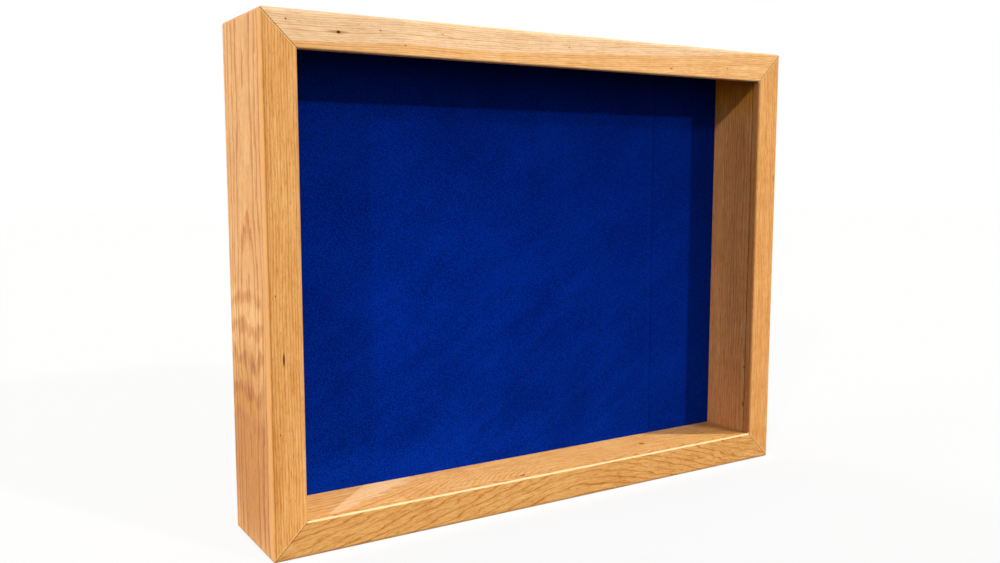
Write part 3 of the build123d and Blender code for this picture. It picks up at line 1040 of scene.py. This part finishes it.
@dataclass
class Hardware:
    """The metal fittings and the bumpers.  What repeats comes from one tree."""
    layout: Layout
    button_stack: float = 1.8
    recess: tuple[float, float, float] = (3.6, 0.9, 1.1)
    plate_screw_spacing: float = 37.0
    bumper_x: float = 307.0
    brad_y: float = -15.35
    brad_grip: float = 9.0
    brad_depth: float = 0.4
    level_brads: tuple[float, ...] = (-248.0, 0.0, 248.0)
    upright_brads: tuple[float, ...] = (115.0, 414.0)

    def crossed(self, mesh: Mesh, top: float) -> Object:
        """A screw with a tapered cross cut into its head."""
        long, wide, deep = self.recess
        a, b = long / 2, wide / 2
        plus = [(a, -b), (a, b), (b, b), (b, a), (-b, a), (-b, b),
                (-a, b), (-a, -b), (-b, -b), (-b, -a), (b, -a), (b, -b)]
        tool = prism(plus, top - deep, top + 1.0)
        for vert in tool.vertices:
            if vert.co.z < top * MM:
                vert.co.x, vert.co.y = vert.co.x * 0.55, vert.co.y * 0.55
        return cut(link("screw", mesh), [tool])

    def brad_spots(self) -> list[Spot]:
        """Where the brads go: set just under the liners' faces, into the rails."""
        found: list[Spot] = []
        for side, level, way in (("bottom", True, 1), ("top", True, -1),
                                 ("left", False, 1), ("right", False, -1)):
            low, high = (corner[2 if level else 0] for corner in corners(f"{side}_liner"))
            face = (high if way > 0 else low) - way * self.brad_depth
            aim = (0, 0, way) if level else (way, 0, 0)
            for place in self.level_brads if level else self.upright_brads:
                at = (place, self.brad_y, face) if level else (face, self.brad_y, place)
                found.append(Spot(at, aim, high - low + self.brad_grip - self.brad_depth))
        return found

    def repeated(self) -> dict[str, tuple[str, Object, list[Spot]]]:
        """Each kind of fitting by its node, with its slot and its places.

        A pan head or a bumper stands on Z = 0, and a sunk head's top is there."""
        out, back = (0, 1, 0), self.layout.back
        pivots = [Vector(joint["pos_m"]) / MM for joint in frame["joints"]
                  if joint["type"] == "hinge"]
        half, middle = self.plate_screw_spacing / 2, self.layout.wall / 2
        plate_x, plate_z = self.layout.plate
        pan = [(0.0, 2.2), *arc((2.1, 0.8), 1.4, 90, 0, 6), (3.5, 0.0), (1.75, 0.0),
               (1.75, -12.0), (0.0, -15.0)]
        sunk = [(0.0, 0.0), (2.8, 0.0), (2.9, -0.1), (1.5, -1.4), (1.5, -12.5), (0.0, -15.0)]
        bumper = [(0.0, 5.0), *arc((4.0, 3.5), 1.5, 90, 0, 6), (5.5, 0.0), (0.0, 0.0)]
        brad = [(0.0, 0.0), (0.6, 0.0), (0.6, -0.9), (0.0, -1.0)]
        return {
            "turn_button_screws": ("screw_brass", self.crossed(lathe(pan), 2.2), [
                Spot((p.x, back + self.button_stack, p.z), out) for p in pivots]),
            "hanger_plate_screws": ("bright_steel", self.crossed(lathe(sunk), 0.0), [
                Spot((side * plate_x, back, plate_z + end * half), out)
                for side in (-1, 1) for end in (-1, 1)]),
            "wall_bumpers": ("bumper_rubber", link("bumper", lathe(bumper)), [
                Spot((side * self.bumper_x, back, z), out) for side in (-1, 1)
                for z in (middle, self.layout.height - middle)]),
            "liner_brads": ("bright_steel", link("brad", lathe(brad, 12)), self.brad_spots())}

    def build(self) -> None:
        """Makes the fittings that repeat, and dresses the others."""
        finishes = {finish.name: finish.material() for finish in (
            Metal("button_brass", (0.68, 0.43, 0.14), (0.30, 0.17, 0.055), 0.27),
            Metal("screw_brass", (0.58, 0.37, 0.13), (0.26, 0.15, 0.05), 0.32),
            Metal("zinc_plate", (0.52, 0.53, 0.54), (0.34, 0.35, 0.36), 0.36, 0.35),
            Metal("bright_steel", (0.50, 0.49, 0.48), (0.32, 0.30, 0.28), 0.3),
            Rubber())}
        tree, kinds = fitting_tree(), self.repeated()
        for seed, (node, (slot, fitting, places)) in enumerate(kinds.items()):
            piece = tree.run(spots(places), f"{node}_set", {
                "Fitting": fitting, "Turn": math.tau, "Seed": seed, "Finish": finishes[slot]})
            bpy.data.objects.remove(fitting)
            smooth(piece.data)
            settle(piece, finishes[slot], "frame", node)
        for name, node in frame["nodes"].items():
            if name.endswith("hanger_plate"):
                dress(node, finishes["zinc_plate"])
            elif name.startswith("turn_button") and name not in kinds:
                dress(node, finishes["button_brass"])


@dataclass
class Backing:
    """What lifts out of the back: panel, pin board and suede together."""
    layout: Layout
    turnover: float = 28.0
    thickness: float = 0.8
    edge_round: float = 1.1
    grid: float = 5.0
    panel_edge: float = 0.5
    finger_hole: Pair = (460.8, 11.0)

    def rows(self, low: float, high: float) -> list[float]:
        """Places for rows of points from low to high."""
        count = round((high - low) / self.grid)
        return [round(low + (high - low) * n / count, 3) for n in range(count + 1)]

    def relief(self, x: float, z: float) -> float:
        """How far the suede stands back from its flat front, in millimetres."""
        soft = noise.noise(Vector((x / 70, z / 70, 1.7))) * 0.10
        nap = noise.noise(Vector((x / 9, z / 9, 8.1))) * 0.03
        d = x - FOLD
        fold = 0.30 * math.exp(-(d / 0.9) ** 2) - 0.10 * math.exp(-((d + 2.2) / 1.5) ** 2)
        return 0.12 + soft + nap + fold

    def suede(self) -> Object:
        """The suede: over the front, round the edges, and turned over behind."""
        (x0, y0, z0), (x1, y1, z1) = corners("suede_cover")
        offsets = (0.0, 0.4, 0.9, 1.5, 2.4, 3.6)
        xs = sorted({x for x in self.rows(x0, x1) if abs(x - FOLD) > 4.0}
                    | {FOLD + sign * offset for sign in (-1, 1) for offset in offsets})
        zs = self.rows(z0, z1)

        def make(work: BMesh) -> None:
            """The front, then rings round the edge."""
            grid = {}
            for i, x in enumerate(xs):
                for j, z in enumerate(zs):
                    rim = min(x - x0, x1 - x, z - z0, z1 - z)
                    depth = y0 + self.relief(x, z) * min(1.0, max(0.0, rim / 12.0))
                    grid[i, j] = work.verts.new(Vector((x, depth, z)) * MM)
            right, top = len(xs) - 1, len(zs) - 1
            for i in range(right):
                for j in range(top):
                    work.faces.new((grid[i, j], grid[i + 1, j], grid[i + 1, j + 1],
                                    grid[i, j + 1]))
            loop = ([(i, 0) for i in range(right)] + [(right, j) for j in range(top)]
                    + [(i, top) for i in range(right, 0, -1)]
                    + [(0, j) for j in range(top, 0, -1)])
            ring = [grid[key] for key in loop]
            for depth, inset in ((y0 + 6.0, 0.0), (y0 + 16.0, 0.0), (y0 + 26.0, 0.0), (y1, 0.0),
                                 (y1, 6.0), (y1, 16.0), (y1, self.turnover)):
                row = [work.verts.new(Vector((min(max(xs[i], x0 + inset), x1 - inset), depth,
                                              min(max(zs[j], z0 + inset), z1 - inset))) * MM)
                       for i, j in loop]
                wall(work, ring, row)
                ring = row
            close(work)

        piece = link("suede_wrap", mesh_of("suede_wrap", make))
        ease(piece, self.edge_round, 3, 50.0)
        piece = bake(piece, "suede_wrap_bent")
        smooth(piece.data, 60)
        thick = piece.modifiers.new("thickness", "SOLIDIFY")
        thick.thickness, thick.offset = self.thickness * MM, -1.0
        return bake(piece, "blue_suede_cover")

    def panel(self) -> Object:
        """The plywood panel with its finger hole."""
        low, high = corners("back_panel")
        piece = link("panel", box_mesh(low, high))
        height, radius = self.finger_hole
        place = (Matrix.Translation((0, 0, height))
                 @ Matrix.Rotation(math.radians(-90), 4, "X"))
        cut(piece, [prism(arc((0, 0), radius, 0, 360, 64)[:-1], low[1] - 2, high[1] + 2, place)])
        ease(piece, self.panel_edge)
        return level(piece, "back_panel_board")

    def build(self) -> None:
        """Makes, dresses and settles the backing."""
        suede = self.suede()
        settle(suede, Suede().material(), "backing", "suede_cover")
        dress(frame["nodes"]["pin_board"], FibreBoard().material())
        settle(self.panel(), Plywood().material(), "backing", "back_panel")


@dataclass
class Studio:
    """A pale floor, a white surround, soft fill and the lamps.

    A lamp's level is how bright it makes a white surface that faces it, and narrow
    and broad are the lamps' widths in the sky, in degrees."""
    eye: Point = (-0.62404, -0.92971, 0.37638)
    right: Point = (0.848622, -0.528999, 0.000502)
    down: Point = (-0.058767, -0.095217, -0.99372)
    ahead: Point = (0.525725, 0.843264, -0.111891)
    lens: float = 34.321
    sensor: float = 36.0
    fill: float = 0.86
    fill_tint: Colour = (1.0, 0.99, 0.93)
    glow: float = 0.86
    floor_reach: float = 9000.0
    key: float = 0.42
    side: float = 0.25
    overhead: float = 0.68
    narrow: float = 2.0
    broad: float = 25.0
    strip_way: Point = (-1.61, 1.0, -5.4)
    strip_height: float = 1500.0
    beam: tuple[Pair, Pair] = ((-345.0, -70.0), (345.0, 36.0))
    flank: float = 0.36
    rear: float = 0.40

    def camera(self) -> None:
        """Makes the camera."""
        data = bpy.data.cameras.new("camera")
        data.lens, data.sensor_width, data.sensor_fit = self.lens, self.sensor, "HORIZONTAL"
        camera = link("camera", data)
        axes = Matrix((self.right, -Vector(self.down), -Vector(self.ahead))).transposed()
        camera.matrix_world = Matrix.Translation(self.eye) @ axes.to_4x4()
        bpy.context.scene.camera = camera

    def lamp(self, name: str, way: Point, level: float, spread: float) -> None:
        """Adds a distant lamp, which gloss doesn't reflect.

        Args:
            name: The lamp's name.
            way: The direction that its light travels.
            level: How bright it makes a white surface that faces it.
            spread: Its width in the sky, in degrees.
        """
        data = bpy.data.lights.new(name, "SUN")
        data.energy, data.angle = level * math.pi, math.radians(spread)
        light = link(name, data)
        light.visible_glossy = False
        light.matrix_world = Vector(way).to_track_quat("-Z", "Y").to_matrix().to_4x4()

    def strip(self) -> None:
        """Adds the strip lamp, whose beam passes close in front of the case."""
        travel = Vector(self.strip_way).normalized()
        (left, rear), (right, front) = self.beam
        middle = Vector(((left + right) / 2, (rear + front) / 2, 0)) * MM
        place = middle - travel * (self.strip_height * MM / -travel.z)
        flat = Vector((1, 0, 0))
        side = (flat - travel * flat.dot(travel)).normalized()
        rise = (-travel).cross(side)
        data = bpy.data.lights.new("overhead", "AREA")
        data.shape = "RECTANGLE"
        data.size = (right - left) * MM * side.x
        data.size_y = abs((front - rear) * MM * rise.y)
        data.spread = math.radians(self.narrow)
        data.energy = self.overhead * math.pi * data.size * data.size_y
        turn = Matrix((side, rise, -travel)).transposed().to_4x4()
        link("overhead", data).matrix_world = Matrix.Translation(place) @ turn

    def seen(self, g: Graph) -> Wire:
        """1 for rays from the camera, from gloss and through glass."""
        path = g.node("ShaderNodeLightPath").outputs
        camera, gloss, glass = (Wire(g, path[f"Is {kind} Ray"])
                                for kind in ("Camera", "Glossy", "Transmission"))
        return g.most(g.most(camera, gloss), glass)

    def build(self) -> None:
        """Makes the whole studio."""
        scene = bpy.context.scene
        scene.view_settings.view_transform = "Standard"
        self.camera()
        world = bpy.data.worlds.new("white_room")
        world.use_nodes = True
        scene.world = world
        g = Graph(world.node_tree)
        way = g.parts(g.node("ShaderNodeTexCoord").outputs["Generated"])
        level = (1.2 - g.most(way[2], 0.0) * 0.85) * self.fill
        soft = g.node("ShaderNodeBackground", None, {
            "Color": (*self.fill_tint, 1), "Strength": level})
        white = g.node("ShaderNodeBackground", None, {"Color": (1, 1, 1, 1), "Strength": 1.0})
        g.node("ShaderNodeOutputWorld", None, {"Surface": g.blend(self.seen(g), soft, white)})

        f = ShaderGraph("pale_floor")
        pale = f.node("ShaderNodeBsdfDiffuse", None, {"Color": (0.9, 0.9, 0.9, 1)})
        glow = f.node("ShaderNodeEmission", None, {"Color": (1, 1, 1, 1), "Strength": 1.0})
        dull = f.node("ShaderNodeBsdfDiffuse", None, {"Color": (0.06, 0.06, 0.06, 1)})
        mixed = f.blend(self.seen(f), dull, f.blend(self.glow, pale, glow))
        reach = self.floor_reach
        floor = link("floor", box_mesh((-reach, -reach, -20), (reach, reach, 0)))
        dress(floor, f.surface(mixed))

        self.lamp("key", (-0.52, 1.0, -0.554), self.key, self.narrow)
        self.lamp("side", (1.37, 1.0, -0.74), self.side, self.narrow)
        self.strip()
        self.lamp("flank", (0.95, -0.12, -0.25), self.flank, self.broad)
        self.lamp("rear", (0.25, -1.0, -0.45), self.rear, self.broad)


# ---------------------------------------------------------------------- the woods
def knots(*places: tuple) -> tuple[Fleck, ...]:
    """Pin knots on the front faces.

    Args:
        places: For each its X, its Z, half its width and half its height, and then
            its depth and colour where they differ from a fleck's own.
    Returns:
        The flecks.
    """
    return tuple(Fleck((x, FRONT, z), (wide, 2.0, tall), *look)
                 for x, z, wide, tall, *look in places)


def rail_woods(layout: Layout) -> dict[str, Material]:
    """The four rails' boards, each cut from its own place in a log."""
    half_w, half_h = layout.width / 2, layout.height / 2
    boards = {
        "left": Cherry(
            "cherry_left_stile", Grain.UPRIGHT, (-5.7, -189.4), (0.85, 0.42, 0.132),
            late=(0.76, 0.54, 0.26), front_line=0.6, painted_highlight=(0.22, 0.0), ring=2.65, line=1.2,
            swell=Swell(250.0, 70.0, -3.3), swirl=2.6, curl=0.0, uneven=1.25, onset=0.45,
            vein=0.7, fine=1.0, coarse=0.6, seed=1.3, mitre=Mitre(-half_w, 1, half_h, half_h),
            ripple=Ripple(190.0, 31.0, 0.12, 0.33, (108.0, 158.0, 252.0, 275.0), (-56.0, -40.0)),
            flecks=(
                # The left stile's outer face, made a little darker and less blue all over, and darker
                # and warmer towards the bottom.
                Fleck((-341.0, 8.0, 300.0), (14.0, 140.0, 600.0), 1.0, (0.91, 0.91, 0.87), 0.3, True),
                Fleck((-341.0, 5.0, 100.0), (22.0, 95.0, 150.0), 1.0, (0.74, 0.56, 0.20), 0.3, True),
                # Painted highlight along the left stile's rounded front edge, then a thin dark line
                # on its front face where the rounding ends.
                Fleck((-341.0, FRONT, 264.0), (3.4, 5.5, 900.0), 0.85, (1.0, 0.48, 0.165), 0.6),
                Fleck((-337.6, FRONT, 330.0), (1.0, 3.0, 420.0), 0.7, (0.50, 0.17, 0.035), 0.7),
                *knots((-325.1, 200.0, 1.4, 9.0, 1.0, (0.14, 0.02, 0.002)),
                       (-331.8, 261.6, 0.9, 1.2), (-330.4, 127.0, 1.0, 1.3)))),
        "right": Cherry(
            "cherry_right_stile", Grain.UPRIGHT, (-20.0, 262.0), (0.785, 0.385, 0.12),
            ring=2.3, swirl=5.0, seed=5.9, mitre=Mitre(half_w, -1, half_h, half_h), flecks=(
                # Painted shade on the inner face of the right stile's lip.
                Fleck((304.0, -54.5, 264.0), (5.0, 14.0, 900.0), 1.0, (0.53, 0.47, 0.46), 0.1, True),
                *knots((336.0, 371.0, 1.6, 7.0, 0.5)))),
        "top": Cherry(
            "cherry_top_rail", Grain.LEVEL, (-20.0, 417.0), (0.91, 0.517, 0.212), ring=2.0,
            coarse=0.6, late=(0.84, 0.58, 0.34), pore=(0.78, 0.33, 0.08), painted_highlight=(0.6, 0.0),
            tilt=0.0447, bow=7.2e-5, swell=Swell(-190.0, 60.0, -3.0, 400.0), swirl=2.5,
            sapwood=98.8, seed=2.6,
            mitre=Mitre(layout.height, -1, 0, half_w), flecks=knots(
                (-263.5, 510.7, 15.0, 1.8, 0.85, (0.62, 0.25, 0.05)),
                (-263.5, 510.7, 3.0, 1.9, 1.0, (0.08, 0.012, 0.001)),
                (-315.5, 518.9, 1.3, 1.2), (-219.7, 515.5, 1.3, 1.0),
                (-151.0, 516.9, 1.8, 1.0, 0.5), (-192.8, 503.1, 2.0, 1.2, 0.6),
                (7.7, 515.0, 1.3, 1.0), (157.0, 500.9, 3.5, 1.5, 0.7),
                (248.6, 506.1, 2.0, 1.3, 0.7))),
        "bottom": Cherry(
            "cherry_bottom_rail", Grain.LEVEL, (-18.7, -30.0), (0.71, 0.355, 0.104), ring=6.0,
            coarse=0.5, line=1.2, painted_highlight=(0.0, 0.9), highlight_colour=(0.88, 0.66, 0.36),
            swell=Swell(30.0, 250.0, -73.0, 400.0), swirl=9.0, uneven=1.9, onset=0.68, vein=0.6,
            fine=0.35, seed=8.2, mitre=Mitre(0, 1, 0, half_w))}
    return {side: board.material() for side, board in boards.items()}


def liner_woods() -> dict[str, Material]:
    """The four liners' boards, the side ones and the top one in deeper colour."""
    shaded = (0.64, 0.295, 0.112)
    boards = {
        "left": Cherry("cherry_left_liner", Grain.UPRIGHT, (-20.0, -230.0), shaded, ring=2.4,
                       seed=3.4),
        "right": Cherry(
            "cherry_right_liner", Grain.UPRIGHT, (-60.0, 262.0), shaded, ring=2.4, seed=4.5,
            swirl=4.0, flecks=(
                # Painted shade on the right liner: a darker strip just behind the lip, and a less
                # blue tint in its shaded top corner.
                Fleck((306.0, -48.0, 320.0), (9.0, 55.0, 420.0), 1.0, (0.79, 0.77, 0.74), 0.1, True),
                Fleck((306.0, -15.0, 520.0), (9.0, 220.0, 88.0), 1.0, (1.0, 0.98, 0.24), 0.2, True),
                Fleck((306.0, -47.5, 73.0), (2.0, 2.0, 5.0)),
                Fleck((306.0, -47.5, 123.0), (2.0, 2.0, 2.5)))),
        "top": Cherry("cherry_top_liner", Grain.LEVEL, (-20.0, 590.0), shaded, ring=2.4, seed=6.1),
        "bottom": Cherry(
            "cherry_bottom_liner", Grain.LEVEL, (-69.7, -25.0), (0.77, 0.405, 0.125), ring=5.0,
            coarse=0.7, swell=Swell(20.0, 150.0, -110.0, 150.0), swirl=5.0, uneven=0.9,
            onset=0.6, fine=0.4, line=1.2, seed=7.3, flecks=(
                Fleck((-41.0, -46.0, 35.0), (2.6, 2.6, 2.0), 1.0, (0.06, 0.01, 0.001)),
                Fleck((-44.5, -46.6, 35.0), (4.5, 1.8, 2.0), 0.9, (0.16, 0.03, 0.003)),
                Fleck((156.4, -19.2, 35.0), (5.0, 5.5, 2.0), 1.0, (0.22, 0.04, 0.004)),
                Fleck((156.4, -19.2, 35.0), (30.0, 9.0, 2.0), 0.35, (0.70, 0.27, 0.04))),
            painted_light_wedges=(
                # A painted pool of light on the floor's left, and a painted shadow beside the right
                # liner.
                PaintedLightWedge((-288.0, -60.0), (-180.0, 17.7), (2.0, 23.5), 0.5, (0.99, 0.66, 0.36)),
                PaintedLightWedge((306.0, -54.0), (293.0, 17.7), (0.5, 13.0), 0.5, (0.36, 0.15, 0.05))))}
    return {side: board.material() for side, board in boards.items()}


def main() -> None:
    """Builds the case piece by piece, then the studio round it."""
    layout = Layout()
    FrameRails(layout).build(rail_woods(layout))
    Liners().build(liner_woods())
    Pane().build()
    Backing(layout).build()
    Hardware(layout).build()
    dress(frame["nodes"]["corner_splines"], Plywood("spline_ply").material())
    Studio().build()


if __name__ == "__main__":
    main()
